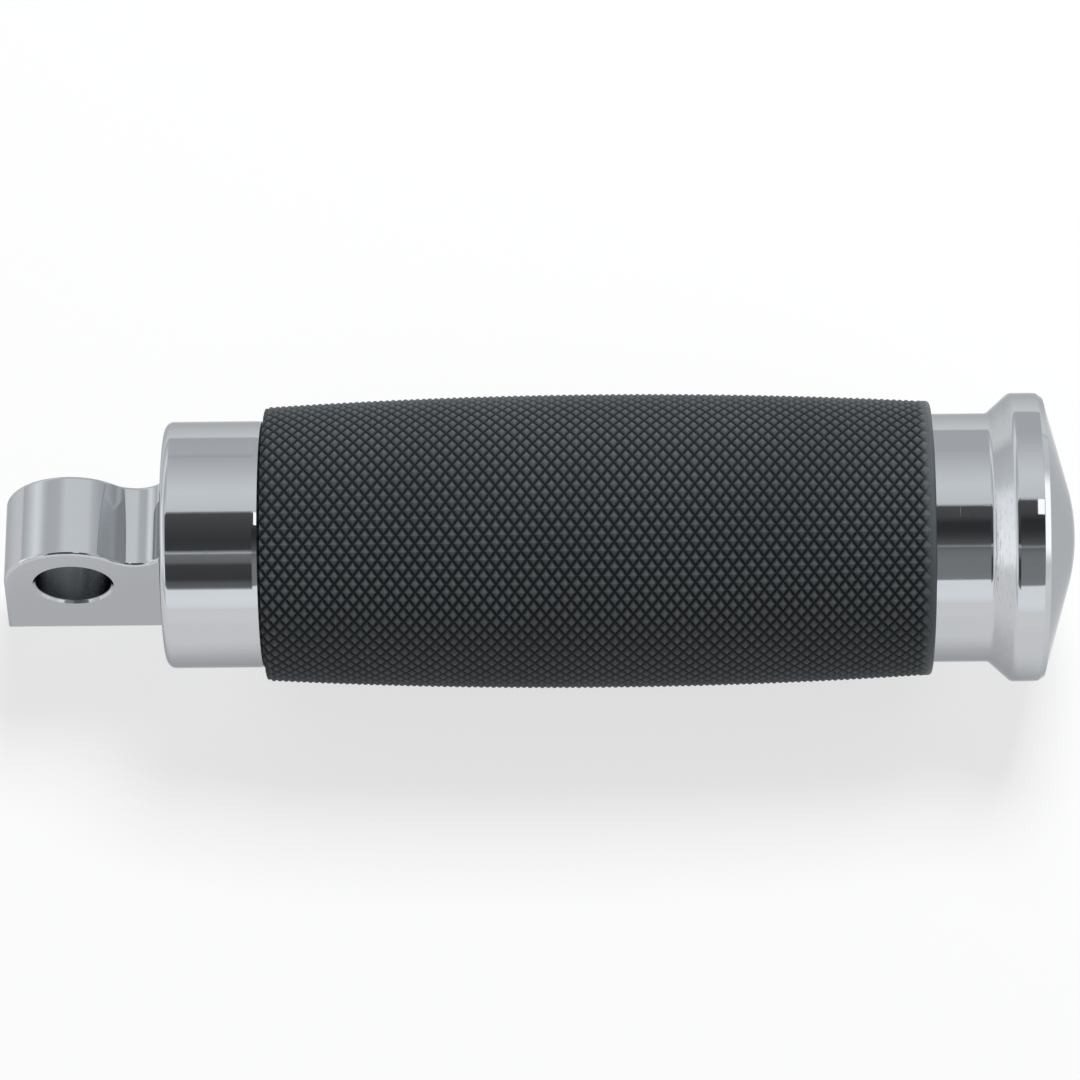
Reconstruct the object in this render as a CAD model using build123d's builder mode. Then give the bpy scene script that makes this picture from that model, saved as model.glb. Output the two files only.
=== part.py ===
from build123d import *
import os
from math import radians, sin, cos, sqrt, tan

# Motorcycle foot peg: a chrome male mount, a barrel shaped rubber sleeve on a steel core tube, and a
# domed chrome end cap that screws onto a centre stud. Millimetres.
# Origin: the centre of the clevis pin bore. +X runs along the peg to the domed end, +Y along the pin
# bore, and +Z is the rounded side of the tongue, away from its flat stop face.

os.makedirs("parts", exist_ok=True)

# ---------- Driving dimensions ----------
# Tongue of the male mount
pin_bore_diameter = 9.8          # drilled for a 3/8 inch clevis pin
bore_chamfer = 0.35
eye_radius = 8.7                 # round end of the tongue
eye_offset = 0.25                # eye's centre, from the pin towards the free end
tongue_width = 11.4              # across the two cheeks
stop_drop = 12.1                 # pin axis down to the flat stop face
tongue_end_lean = 2.1            # degrees that the tongue's end leans out, down to the stop face
saddle_radius = 4.05             # hollow between the eye, which it is tangent to, and the collar's face
saddle_bite = 0.35               # how far the hollow's arc would reach past the collar's face
tongue_edge_round = 0.45
root_round = 0.5                 # where the tongue runs into the collar
tongue_seat = 2.0                # how far the tongue's billet runs into the collar's

# Inner collar
mount_reach = 12.0               # pin axis to the collar's face
collar_diameter = 31.9
collar_length = 12.9
collar_face_round = 1.1
collar_back_chamfer = 0.4

# Rubber sleeve
sleeve_length = 85.8
sleeve_end_diameter = 35.4
sleeve_middle_diameter = 38.0
sleeve_end_round = 1.0

# Core tube and what plugs into it
tube_wall = 3.0
tube_bore_chamfer = 0.5
mount_spigot_length = 14.0
cap_spigot_length = 10.0
spigot_chamfer = 0.8

# Dowels between the collar and the tube
dowel_diameter = 2.0
dowel_count = 2
dowel_depth = 4.0                # in the collar, and again in the tube
dowel_chamfer = 0.25

# Seal rings
seal_cord = 1.8
groove_room = 0.3                # on each side of the ring, along the spigot
groove_web = 1.1                 # wall left between a groove and the thread insert's seat
seal_from_mouth = 3.6            # spigot's free end to the middle of its groove

# Centre stud, its lock pin and the thread insert in the cap
stud_diameter = 10.0
stud_in_mount = 20.0
stud_chamfer = 1.0
stud_end_gap = 1.0               # below the stud in the mount, and beyond it in the cap
lock_pin_diameter = 2.5
lock_pin_from_collar = 4.5
insert_wall = 2.0
insert_length = 16.0
insert_head_lip = 0.8
insert_head_height = 0.8
stud_past_insert = 4.5           # stud end beyond the insert, with the cap screwed home

# Slip washer between the tube and the cap
washer_thickness = 1.0
washer_clearance = 0.3           # round its rim and round the cap's spigot

# Domed end cap
cap_collar_diameter = 32.1
cap_collar_length = 7.3
flare_length = 2.9
flange_diameter = 37.3
flange_width = 4.1
flare_root_round = 0.8
flare_crest_round = 0.5
flange_bevel = 0.5
dome_slope = 16.0                # degrees, of the cone between the flange and the tip
dome_tip_radius = 24.0

# Clearances, all on the radius
fit_clearance = 0.05             # spigots, stud, insert, pins and the sleeve on its tube
seal_clearance = 0.025
runout_clearance = 0.3           # round the stud's end, in the cap beyond the insert
same_place = 0.01                # how near counts as the same place when an edge is picked

# ---------- Worked out from them ----------
collar_x = mount_reach
sleeve_x = collar_x + collar_length
cap_x = sleeve_x + sleeve_length
tube_length = sleeve_length - washer_thickness
washer_x = sleeve_x + tube_length

stud_radius = stud_diameter / 2
insert_radius = stud_radius + insert_wall
insert_head_radius = insert_radius + insert_head_lip
groove_floor_radius = insert_radius + fit_clearance + groove_web
groove_width = seal_cord + 2 * groove_room
seal_circle_radius = groove_floor_radius + seal_clearance + seal_cord / 2
tube_bore_radius = seal_circle_radius + seal_cord / 2 + seal_clearance
tube_outer_radius = tube_bore_radius + tube_wall
dowel_circle_radius = tube_bore_radius + tube_wall / 2
spigot_radius = tube_bore_radius - fit_clearance
sleeve_bore_radius = tube_outer_radius + fit_clearance

mount_spigot_x = sleeve_x + mount_spigot_length
mount_seal_x = mount_spigot_x - seal_from_mouth
cap_spigot_x = cap_x - cap_spigot_length
cap_seal_x = cap_spigot_x + seal_from_mouth
stud_start_x = mount_spigot_x - stud_in_mount
stud_end_x = cap_spigot_x + insert_length + stud_past_insert
stud_length = stud_end_x - stud_start_x
lock_pin_x = sleeve_x + lock_pin_from_collar

# The saddle's arc touches the eye from outside, and ends on the collar's face.
saddle_centre_x = collar_x + saddle_bite - saddle_radius
saddle_centre_z = sqrt((eye_radius + saddle_radius) ** 2 - (saddle_centre_x + eye_offset) ** 2)
touch_share = eye_radius / (eye_radius + saddle_radius)
saddle_touch = (
    (saddle_centre_x + eye_offset) * touch_share - eye_offset,
    saddle_centre_z * touch_share,
)
saddle_end_z = saddle_centre_z - sqrt(saddle_radius**2 - (saddle_radius - saddle_bite) ** 2)
tongue_end_x = collar_x + tongue_seat

# The leaning end is tangent to the eye a little above the pin axis.
end_lean = radians(tongue_end_lean)
end_touch = (-eye_offset - eye_radius * cos(end_lean), eye_radius * sin(end_lean))
end_foot = (end_touch[0] - (stop_drop + end_touch[1]) * tan(end_lean), -stop_drop)

# The dome is a cone that runs tangent into a round tip.
flare_x = cap_x + cap_collar_length
flange_x = flare_x + flare_length
flange_end_x = flange_x + flange_width
cap_collar_radius = cap_collar_diameter / 2
flange_radius = flange_diameter / 2
tip_radius_end = dome_tip_radius * sin(radians(dome_slope))
tip_start_x = flange_end_x + (flange_radius - tip_radius_end) * tan(radians(dome_slope))
dome_tip_x = tip_start_x + dome_tip_radius * (1 - cos(radians(dome_slope)))
tip_half_angle = radians(dome_slope / 2)
tip_middle = (
    dome_tip_x - dome_tip_radius * (1 - cos(tip_half_angle)),
    dome_tip_radius * sin(tip_half_angle),
)

# ---------- Male mount: tongue, inner collar and spigot in one chromed billet ----------
with BuildPart() as male_mount:
    with BuildSketch(Plane.XZ):
        with BuildLine():
            Polyline(
                end_touch,
                end_foot,
                (tongue_end_x, -stop_drop),
                (tongue_end_x, saddle_end_z),
                (collar_x, saddle_end_z),
            )
            ThreePointArc(
                (collar_x, saddle_end_z),
                (saddle_centre_x, saddle_centre_z - saddle_radius),
                saddle_touch,
            )
            ThreePointArc(saddle_touch, (-eye_offset, eye_radius), end_touch)
        make_face()
    extrude(amount=tongue_width / 2, both=True)
    fillet(male_mount.faces().filter_by(Axis.Y).edges(), tongue_edge_round)

    # Clevis pin bore, with both mouths chamfered.
    with Locations(Plane.XZ.offset(tongue_width / 2)):
        Hole(pin_bore_diameter / 2, depth=tongue_width)
    bore_mouths = male_mount.edges().filter_by(GeomType.CIRCLE).filter_by(
        lambda edge: abs(edge.radius - pin_bore_diameter / 2) < same_place
    )
    chamfer(bore_mouths, bore_chamfer)

    # Inner collar, turned about the peg's axis.
    with BuildSketch(Plane.XY) as collar_profile:
        with Locations((collar_x, 0)):
            Rectangle(collar_length, collar_diameter / 2, align=Align.MIN)
        rim = collar_profile.vertices().group_by(Axis.Y)[-1].sort_by(Axis.X)
        fillet(rim[0], collar_face_round)
        rim = collar_profile.vertices().group_by(Axis.Y)[-1].sort_by(Axis.X)
        chamfer(rim[-1], collar_back_chamfer)
    revolve(axis=Axis.X)
    tongue_root = male_mount.edges().filter_by_position(
        Axis.X, collar_x - same_place, collar_x + same_place
    ).filter_by_position(Axis.Y, -tongue_width / 2 - same_place, tongue_width / 2 + same_place)
    fillet(tongue_root, root_round)

    # Spigot that plugs into the core tube, with the seal ring's groove.
    with BuildSketch(Plane.XY) as spigot_profile:
        with Locations((sleeve_x, 0)):
            Rectangle(mount_spigot_length, spigot_radius, align=Align.MIN)
        mouth = spigot_profile.vertices().group_by(Axis.Y)[-1].sort_by(Axis.X)[-1]
        chamfer(mouth, spigot_chamfer)
        with Locations((mount_seal_x, groove_floor_radius)):
            Rectangle(groove_width, seal_cord, align=(Align.CENTER, Align.MIN), mode=Mode.SUBTRACT)
    revolve(axis=Axis.X)

    # Tapped hole for the stud, cross hole for its lock pin, and the dowel holes.
    with Locations(Plane.YZ.offset(mount_spigot_x)):
        Hole(stud_radius + fit_clearance, depth=stud_in_mount + stud_end_gap)
    with Locations((lock_pin_x, 0, spigot_radius)):
        Hole(lock_pin_diameter / 2 + fit_clearance, depth=2 * spigot_radius)
    with Locations(Plane.YZ.offset(sleeve_x)):
        with PolarLocations(dowel_circle_radius, dowel_count):
            Hole(dowel_diameter / 2 + fit_clearance, depth=dowel_depth)
male_mount.part.label = "male_mount"
export_step(male_mount.part, "parts/male_mount.step")

# ---------- Core tube: the steel tube that the sleeve is pulled over ----------
with BuildPart() as core_tube:
    with BuildSketch(Plane.YZ.offset(sleeve_x)):
        Circle(tube_outer_radius)
        Circle(tube_bore_radius, mode=Mode.SUBTRACT)
    extrude(amount=tube_length)
    chamfer(
        core_tube.edges().filter_by(GeomType.CIRCLE).group_by(SortBy.RADIUS)[0], tube_bore_chamfer
    )
    with Locations(Plane.YZ.offset(sleeve_x + dowel_depth)):
        with PolarLocations(dowel_circle_radius, dowel_count):
            Hole(dowel_diameter / 2 + fit_clearance, depth=dowel_depth)
core_tube.part.label = "core_tube"
export_step(core_tube.part, "parts/core_tube.step")

# ---------- Core dowels: they keep the tube from turning on the mount ----------
with BuildPart() as core_dowels:
    with BuildSketch(Plane.YZ.offset(sleeve_x - dowel_depth)):
        with PolarLocations(dowel_circle_radius, dowel_count):
            Circle(dowel_diameter / 2)
    extrude(amount=2 * dowel_depth)
    chamfer(core_dowels.edges().filter_by(GeomType.CIRCLE), dowel_chamfer)
core_dowels.part.label = "core_dowels"
export_step(core_dowels.part, "parts/core_dowels.step")

# ---------- Rubber sleeve: a barrel, fattest in the middle, with rounded ends ----------
with BuildPart() as rubber_sleeve:
    with BuildSketch(Plane.XY) as sleeve_profile:
        with BuildLine():
            Polyline(
                (sleeve_x, sleeve_end_diameter / 2),
                (sleeve_x, sleeve_bore_radius),
                (cap_x, sleeve_bore_radius),
                (cap_x, sleeve_end_diameter / 2),
            )
            ThreePointArc(
                (cap_x, sleeve_end_diameter / 2),
                ((sleeve_x + cap_x) / 2, sleeve_middle_diameter / 2),
                (sleeve_x, sleeve_end_diameter / 2),
            )
        make_face()
        fillet(sleeve_profile.vertices().group_by(Axis.Y)[-1], sleeve_end_round)
    revolve(axis=Axis.X)
rubber_sleeve.part.label = "rubber_sleeve"
export_step(rubber_sleeve.part, "parts/rubber_sleeve.step")

# ---------- Centre stud: locked in the mount, it carries the cap ----------
with BuildPart() as centre_stud:
    with BuildSketch(Plane.YZ.offset(stud_start_x)):
        Circle(stud_radius)
    extrude(amount=stud_length)
    chamfer(centre_stud.edges().filter_by(GeomType.CIRCLE), stud_chamfer)
    with Locations((lock_pin_x, 0, stud_radius)):
        Hole(lock_pin_diameter / 2 + fit_clearance, depth=stud_diameter)
centre_stud.part.label = "centre_stud"
export_step(centre_stud.part, "parts/centre_stud.step")

# ---------- Stud lock pin: crosses the spigot and the stud, and the tube keeps it in ----------
with BuildPart() as stud_lock_pin:
    with BuildSketch(Plane.XY.offset(-spigot_radius + fit_clearance)):
        with Locations((lock_pin_x, 0)):
            Circle(lock_pin_diameter / 2)
    extrude(amount=2 * (spigot_radius - fit_clearance))
    chamfer(stud_lock_pin.edges().filter_by(GeomType.CIRCLE), dowel_chamfer)
stud_lock_pin.part.label = "stud_lock_pin"
export_step(stud_lock_pin.part, "parts/stud_lock_pin.step")

# ---------- Seal rings: one on each spigot, pressed against the tube's bore ----------
with BuildPart() as inner_seal_ring:
    with BuildSketch(Plane.XY):
        with Locations((mount_seal_x, seal_circle_radius)):
            Circle(seal_cord / 2)
    revolve(axis=Axis.X)
inner_seal_ring.part.label = "inner_seal_ring"
export_step(inner_seal_ring.part, "parts/inner_seal_ring.step")

with BuildPart() as outer_seal_ring:
    with BuildSketch(Plane.XY):
        with Locations((cap_seal_x, seal_circle_radius)):
            Circle(seal_cord / 2)
    revolve(axis=Axis.X)
outer_seal_ring.part.label = "outer_seal_ring"
export_step(outer_seal_ring.part, "parts/outer_seal_ring.step")

# ---------- Slip washer: lets the cap turn as it is screwed up against the tube ----------
with BuildPart() as slip_washer:
    with BuildSketch(Plane.YZ.offset(washer_x)):
        Circle(sleeve_bore_radius - washer_clearance)
        Circle(spigot_radius + washer_clearance, mode=Mode.SUBTRACT)
    extrude(amount=washer_thickness)
slip_washer.part.label = "slip_washer"
export_step(slip_washer.part, "parts/slip_washer.step")

# ---------- Thread insert: the steel thread in the cap's softer billet ----------
with BuildPart() as thread_insert:
    with BuildSketch(Plane.YZ.offset(cap_spigot_x)):
        Circle(insert_head_radius)
    extrude(amount=insert_head_height)
    with BuildSketch(Plane.YZ.offset(cap_spigot_x)):
        Circle(insert_radius)
    extrude(amount=insert_length)
    with Locations(Plane.YZ.offset(cap_spigot_x + insert_length)):
        Hole(stud_radius + fit_clearance, depth=insert_length)
thread_insert.part.label = "thread_insert"
export_step(thread_insert.part, "parts/thread_insert.step")

# ---------- End cap: spigot, collar, flare, flange and shallow dome in one chromed billet ----------
with BuildPart() as end_cap:
    with BuildSketch(Plane.XY) as cap_profile:
        with BuildLine():
            Polyline(
                (dome_tip_x, 0),
                (cap_spigot_x, 0),
                (cap_spigot_x, spigot_radius),
                (cap_x, spigot_radius),
                (cap_x, cap_collar_radius),
                (flare_x, cap_collar_radius),
                (flange_x, flange_radius),
                (flange_end_x, flange_radius),
                (tip_start_x, tip_radius_end),
            )
            ThreePointArc((tip_start_x, tip_radius_end), tip_middle, (dome_tip_x, 0))
        make_face()
        flare_foot = cap_profile.vertices().sort_by_distance((flare_x, cap_collar_radius))[0]
        fillet(flare_foot, flare_root_round)
        flare_crest = cap_profile.vertices().sort_by_distance((flange_x, flange_radius))[0]
        fillet(flare_crest, flare_crest_round)
        flange_corner = cap_profile.vertices().sort_by_distance((flange_end_x, flange_radius))[0]
        chamfer(flange_corner, flange_bevel)
        spigot_mouth = cap_profile.vertices().sort_by_distance((cap_spigot_x, spigot_radius))[0]
        chamfer(spigot_mouth, spigot_chamfer)
        with Locations((cap_seal_x, groove_floor_radius)):
            Rectangle(groove_width, seal_cord, align=(Align.CENTER, Align.MIN), mode=Mode.SUBTRACT)
    revolve(axis=Axis.X)

    # Seat for the insert, and the hole that the stud's end runs into beyond it.
    with Locations(Plane.YZ.offset(cap_spigot_x).rotated((180, 0, 0))):
        CounterBoreHole(
            radius=insert_radius + fit_clearance,
            counter_bore_radius=insert_head_radius + fit_clearance,
            counter_bore_depth=insert_head_height + fit_clearance,
            depth=insert_length + fit_clearance,
        )
        Hole(stud_radius + runout_clearance, depth=stud_end_x + stud_end_gap - cap_spigot_x)
end_cap.part.label = "end_cap"
export_step(end_cap.part, "parts/end_cap.step")

print(f"length over all {dome_tip_x - end_foot[0]:.2f} mm, stud {stud_length:.1f} mm")
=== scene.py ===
# %% [markdown]
# # A motorcycle foot peg
# A foot peg is a short steel arm that a rider's boot rests on. It folds about a clevis pin through its flat
# tongue. A black rubber sleeve with a fine diamond knurl grips the sole, and chromed metal closes both ends.
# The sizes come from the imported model, which is loaded first and never changed. The looks are built around it.

# %% Load the fixed frame
from contextlib import contextmanager
from math import atan2, cos, degrees, pi, radians, sin, sqrt, tan

import bmesh
import bpy
import numpy as np
from mathutils import Matrix, Vector


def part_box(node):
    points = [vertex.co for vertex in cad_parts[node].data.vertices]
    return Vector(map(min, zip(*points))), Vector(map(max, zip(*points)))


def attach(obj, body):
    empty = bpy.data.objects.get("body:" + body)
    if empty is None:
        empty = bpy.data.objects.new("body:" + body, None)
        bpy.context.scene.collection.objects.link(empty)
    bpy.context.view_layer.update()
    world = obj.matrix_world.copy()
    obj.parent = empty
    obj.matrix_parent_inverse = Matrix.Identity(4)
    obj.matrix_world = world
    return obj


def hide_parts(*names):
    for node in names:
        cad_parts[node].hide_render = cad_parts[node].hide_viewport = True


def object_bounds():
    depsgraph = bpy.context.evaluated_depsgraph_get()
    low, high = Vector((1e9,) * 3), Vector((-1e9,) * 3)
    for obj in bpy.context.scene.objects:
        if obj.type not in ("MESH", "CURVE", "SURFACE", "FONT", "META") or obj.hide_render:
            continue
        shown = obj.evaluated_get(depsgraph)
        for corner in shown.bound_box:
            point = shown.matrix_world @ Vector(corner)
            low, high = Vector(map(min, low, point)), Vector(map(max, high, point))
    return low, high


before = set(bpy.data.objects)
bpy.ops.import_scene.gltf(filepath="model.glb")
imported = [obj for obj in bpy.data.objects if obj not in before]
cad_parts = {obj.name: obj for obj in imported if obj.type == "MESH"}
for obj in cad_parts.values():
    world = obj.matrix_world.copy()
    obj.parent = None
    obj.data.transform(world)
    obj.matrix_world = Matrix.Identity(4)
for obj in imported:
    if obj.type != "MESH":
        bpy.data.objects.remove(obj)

MM, MICRON = 0.001, 0.000001
scene = bpy.context.scene
cad_low, cad_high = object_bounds()
print("CAD box, mm:", [round(v / MM, 2) for v in (*cad_low, *cad_high)])

# %% [markdown]
# ## Shader maths in plain Python
# A material is a graph of nodes. Written out node by node it is hard to read, so this small class wraps one
# output socket. Sums and products on it add Math nodes, and `add` makes every other kind of node.

# %% A socket that can be calculated with
class Wire:
    """One output socket of a shader tree. + - * on it add Math nodes, and add() makes any other node."""

    def __init__(self, tree, socket=None):
        self.tree = tree
        self.socket = socket

    def add(self, kind, settings=None, inputs=None, output=0):
        node = self.tree.nodes.new(kind)
        for name, value in (settings or {}).items():
            if name == "stops":
                set_stops(node.color_ramp, value)
            else:
                setattr(node, name, value)
        for name, value in (inputs or {}).items():
            if isinstance(value, Wire):
                self.tree.links.new(value.socket, node.inputs[name])
            else:
                node.inputs[name].default_value = value
        return Wire(self.tree, node.outputs[output] if node.outputs else None)

    def output(self, name):
        """Another output of the same node."""
        return Wire(self.tree, self.socket.node.outputs[name])

    def math(self, operation, *values):
        return self.add("ShaderNodeMath", {"operation": operation}, dict(enumerate(values)))

    def __add__(self, other):
        return self.math("ADD", self, other)

    def __sub__(self, other):
        return self.math("SUBTRACT", self, other)

    def __mul__(self, other):
        return self.math("MULTIPLY", self, other)

    def __rsub__(self, other):
        return self.math("SUBTRACT", other, self)

    __radd__ = __add__
    __rmul__ = __mul__

    def smooth(self, low, high):
        """0 below low, 1 above high, and a soft step between them."""
        return self.add(
            "ShaderNodeMapRange",
            {"interpolation_type": "SMOOTHSTEP"},
            {"Value": self, "From Min": low, "From Max": high},
        )

    def between(self, rise_from, rise_to, fall_from, fall_to):
        """1 from rise_to to fall_from, 0 well outside them, and a soft step on each side."""
        return self.smooth(rise_from, rise_to) * (1 - self.smooth(fall_from, fall_to))

    def blend(self, first, second):
        """A colour that goes from first to second as this value goes from 0 to 1."""
        return self.add("ShaderNodeMix", {"data_type": "RGBA"}, {0: self, 6: first, 7: second}, 2)


def set_stops(ramp, stops):
    """Gives a colour ramp these (position, colour) stops."""
    while len(ramp.elements) > 1:
        ramp.elements.remove(ramp.elements[-1])
    for index, (position, colour) in enumerate(stops):
        stop = ramp.elements[0] if index == 0 else ramp.elements.new(position)
        stop.position = position
        stop.color = (*colour, 1)


def grey(level, cool=0.0):
    """A grey of this level, a little bluer as cool grows."""
    return (level * (1 - cool), level, level * (1 + cool))


# %% Start a material
def new_material(name, **constants):
    """A material with one Principled shader. Constants such as a metal's 1 are set on its sockets."""
    material = bpy.data.materials.new(name)
    material.use_nodes = True
    tree = material.node_tree
    tree.nodes.clear()
    shader = tree.nodes.new("ShaderNodeBsdfPrincipled")
    output = tree.nodes.new("ShaderNodeOutputMaterial")
    tree.links.new(shader.outputs[0], output.inputs["Surface"])
    for socket, value in constants.items():
        shader.inputs[socket.replace("_", " ")].default_value = value
    place = Wire(tree).add("ShaderNodeTexCoord", output="Object")
    return material, shader, place


def connect(shader, **wires):
    """Links what varies over the surface: Base_Color, Roughness and Normal."""
    for socket, wire in wires.items():
        wire.tree.links.new(wire.socket, shader.inputs[socket.replace("_", " ")])


def stretched(place, scale):
    """The same coordinates, scaled by a different amount along each axis."""
    return place.add("ShaderNodeMapping", {}, {"Vector": place, "Scale": scale})


def noise(place, scale, detail=2.0, roughness=0.5):
    return place.add(
        "ShaderNodeTexNoise", {}, {"Vector": place, "Scale": scale, "Detail": detail, "Roughness": roughness}
    )


def bump(height, distance, strength=1.0, normal=None):
    """A Bump node for relief of this distance, in metres."""
    inputs = {"Height": height, "Distance": distance, "Strength": strength}
    if normal is not None:
        inputs["Normal"] = normal
    return height.add("ShaderNodeBump", {}, inputs)


# %% [markdown]
# ## Chrome
# The tongue, collars and domed end are plated. Chrome has almost no colour of its own: it looks like what
# stands round it. What gives it away as metal is the faint unevenness of the polish, hair scratches from
# handling, and a slightly duller haze where fingers have been. All of that lives in roughness and a tiny bump.
# Plating hardly reaches inside a hole, so the clevis bore is darker and duller than the cheeks round it.

# %% Polished chrome
CHROME_FACE = (0.512, 0.524, 0.540, 1), (0.556, 0.568, 0.584, 1)  # where it is dimmest and where it is brightest
CHROME_EDGE = (0.58, 0.592, 0.605, 1)  # at a glancing angle, where metals look brighter and bluer
POLISH = 0.035
HAIRS_ALONG, HAIRS_ACROSS = (260.0, 5200.0, 5200.0), (6400.0, 420.0, 420.0)


def make_chrome(name, bore_radius=None, tool_marks=None):
    """bore_radius is for a hole along Y. tool_marks is the (from, to) stretch where the lathe's marks show."""
    chrome, shader, place = new_material(name, Metallic=1.0, Specular_Tint=CHROME_EDGE)
    haze = noise(place, 90.0, 3.0).smooth(0.42, 0.72)
    colour = noise(place, 35.0, 2.0).blend(*CHROME_FACE)
    hairs_along = noise(stretched(place, HAIRS_ALONG), 1.0, 1.0).smooth(0.70, 0.78)
    hairs_across = noise(stretched(place, HAIRS_ACROSS), 1.0, 1.0).smooth(0.71, 0.79)
    hairs = hairs_along.math("MAXIMUM", hairs_along, hairs_across)
    roughness = POLISH + haze * 0.03 + hairs * 0.10
    relief = bump(noise(place, 220.0, 1.0), 4 * MICRON)
    relief = bump(1 - hairs, 0.4 * MICRON, normal=relief)
    if bore_radius:
        colour, roughness = dull_bore(place, bore_radius, colour, roughness)
    if tool_marks:
        colour, roughness, relief = leave_tool_marks(place, tool_marks, colour, roughness, relief)
    connect(shader, Base_Color=colour, Roughness=roughness, Normal=relief)
    return chrome


# %% Chrome where the plating is thin, and where the lathe's marks are left
BARE_METAL = (0.17, 0.178, 0.185, 1), (0.44, 0.455, 0.47, 1)  # stained and clean
TOOL_MARK = (0.33, 0.34, 0.35, 1)
MARKS_FADE = 0.4 * MM


def dull_bore(place, radius, colour, roughness):
    """Colour and roughness that turn dark and dull within this radius of the Y axis."""
    x = place.add("ShaderNodeSeparateXYZ", {}, {"Vector": place}, "X")
    z = x.output("Z")
    from_axis = x.math("SQRT", x * x + z * z)
    inside = 1 - from_axis.smooth(radius + 0.03 * MM, radius + 0.12 * MM)
    stain = noise(stretched(place, (500.0, 90.0, 500.0)), 1.0, 3.0)
    colour = inside.blend(colour, stain.blend(*BARE_METAL))
    return colour, roughness + inside * (0.10 + stain * 0.12)


def leave_tool_marks(place, stretch, colour, roughness, relief):
    """Colour, roughness and relief with short dashes round the peg's axis, between two places along it."""
    along = place.add("ShaderNodeSeparateXYZ", {}, {"Vector": place}, "X")
    start, end = stretch
    zone = along.between(start, start + MARKS_FADE, end - MARKS_FADE, end)
    dashes = noise(stretched(place, (5200.0, 900.0, 900.0)), 1.0, 2.0).smooth(0.52, 0.74) * zone
    roughness = roughness + dashes * 0.10 + zone * 0.07
    colour = (dashes * 0.22).blend(colour, TOOL_MARK)
    return colour, roughness, bump(1 - dashes, 2 * MICRON, normal=relief)


print("chrome, at least", POLISH, "rough")

# %% [markdown]
# ## Turned steel, zinc plate and rubber
# Inside are plain steel parts, seen when the cap is unscrewed. Turned steel has fine rings round its axis, and
# zinc plate is a shade warmer. Their grain is noise that is stretched, which a bump and the roughness share.
# Rubber is nearly black and hardly shines. Boots rub the tips of its diamonds paler, and the grooves between
# them are painted darker as shade, so its mesh brings a value that says how high in the knurl each point lies.

# %% Turned steel, with its rings round the peg's axis
RINGS = (9000.0, 60.0, 60.0)


def make_steel(name, dark, light):
    steel, shader, place = new_material(name, Metallic=1.0)
    rings = noise(stretched(place, RINGS), 1.0, 3.0)
    stain = noise(place, 130.0, 4.0, 0.6).smooth(0.35, 0.75)
    colour = stain.blend((*light, 1), (*dark, 1))
    roughness = 0.26 + rings * 0.14 + stain * 0.12
    connect(shader, Base_Color=colour, Roughness=roughness, Normal=bump(rings, 6 * MICRON))
    return steel


core_steel = make_steel("core_steel", (0.33, 0.33, 0.34), (0.50, 0.50, 0.51))
stud_steel = make_steel("stud_steel", (0.42, 0.38, 0.28), (0.62, 0.57, 0.44))


# %% Rubber: dull, almost black, paler where it is rubbed, with painted shade in the grooves
DUST = (0.085, 0.088, 0.088, 1)


def make_rubber(name, groove_shade, tip, dull, shiny, grain):
    """The mesh carries a height value on each point: 1 on the tips, which wear paler and shinier, and 0 down in the
    grooves, whose darker colour is painted shade.
    """
    rubber, shader, place = new_material(name, Specular_IOR_Level=0.2)
    rubbed = place.add("ShaderNodeAttribute", {"attribute_name": "rubbed"}, output="Fac")
    cloud = noise(place, 60.0, 3.0)
    dust = noise(place, 900.0, 3.0, 0.7).smooth(0.45, 0.85)
    # The colour follows the height in the knurl: paler rubbed tips, and painted shade down in the grooves.
    colour = (rubbed.smooth(0.0, 0.8) * (0.6 + cloud * 0.5)).blend((*groove_shade, 1), (*tip, 1))
    colour = (dust * 0.16).blend(colour, DUST)
    roughness = dull - rubbed * (dull - shiny) + dust * 0.08
    fine = noise(place, grain, 2.0, 0.6)
    connect(shader, Base_Color=colour, Roughness=roughness, Normal=bump(fine, 10 * MICRON, 0.7))
    return rubber


# For the sleeve, the first colour is painted shade for its grooves and the second is its paler rubbed tips.
sleeve_rubber = make_rubber("sleeve_rubber", (0.0110, 0.0125, 0.0136), (0.104, 0.117, 0.1255), 0.66, 0.48, 5200.0)
seal_rubber = make_rubber("seal_rubber", (0.010, 0.010, 0.011), (0.018, 0.018, 0.019), 0.38, 0.34, 4000.0)
print("nodes in the rubber:", len(sleeve_rubber.node_tree.nodes), "and in the steel:", len(core_steel.node_tree.nodes))

# %% [markdown]
# ## Shapes turned on a lathe
# Most of the metal is turned, so a half section swept round the peg's axis makes it. Polished metal shows every
# fault of a mesh. So arcs get many short steps, and a point is set close beside each corner, which keeps the
# shading of a flat flat right up to its edge.

# %% Section drawing: arcs, and points close beside the corners
def arc(centre, radius, start, end, step=3.0):
    """Points on an arc about centre, from start to end degrees, about step degrees apart."""
    count = max(2, round(abs(end - start) / step))
    turns = [radians(start + (end - start) * i / count) for i in range(count + 1)]
    return [(centre[0] + radius * cos(t), centre[1] + radius * sin(t)) for t in turns]


BESIDE = 0.03


def beside_corners(points, shortest=0.2):
    """Adds a point close beside both ends of each straight run that is longer than shortest."""
    result = [points[0]]
    for (x0, y0), (x1, y1) in zip(points, points[1:]):
        length = sqrt((x1 - x0) ** 2 + (y1 - y0) ** 2)
        if length > shortest:
            share = BESIDE / length
            result.append((x0 + (x1 - x0) * share, y0 + (y1 - y0) * share))
            result.append((x1 - (x1 - x0) * share, y1 - (y1 - y0) * share))
        result.append((x1, y1))
    return result


# %% From points and faces to a shaded object
SHARP = radians(32)


@contextmanager
def reworked(mesh):
    """Lends the mesh out as a bmesh, and takes the changes back when the block ends."""
    work = bmesh.new()
    work.from_mesh(mesh)
    yield work
    work.to_mesh(mesh)
    work.free()


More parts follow.
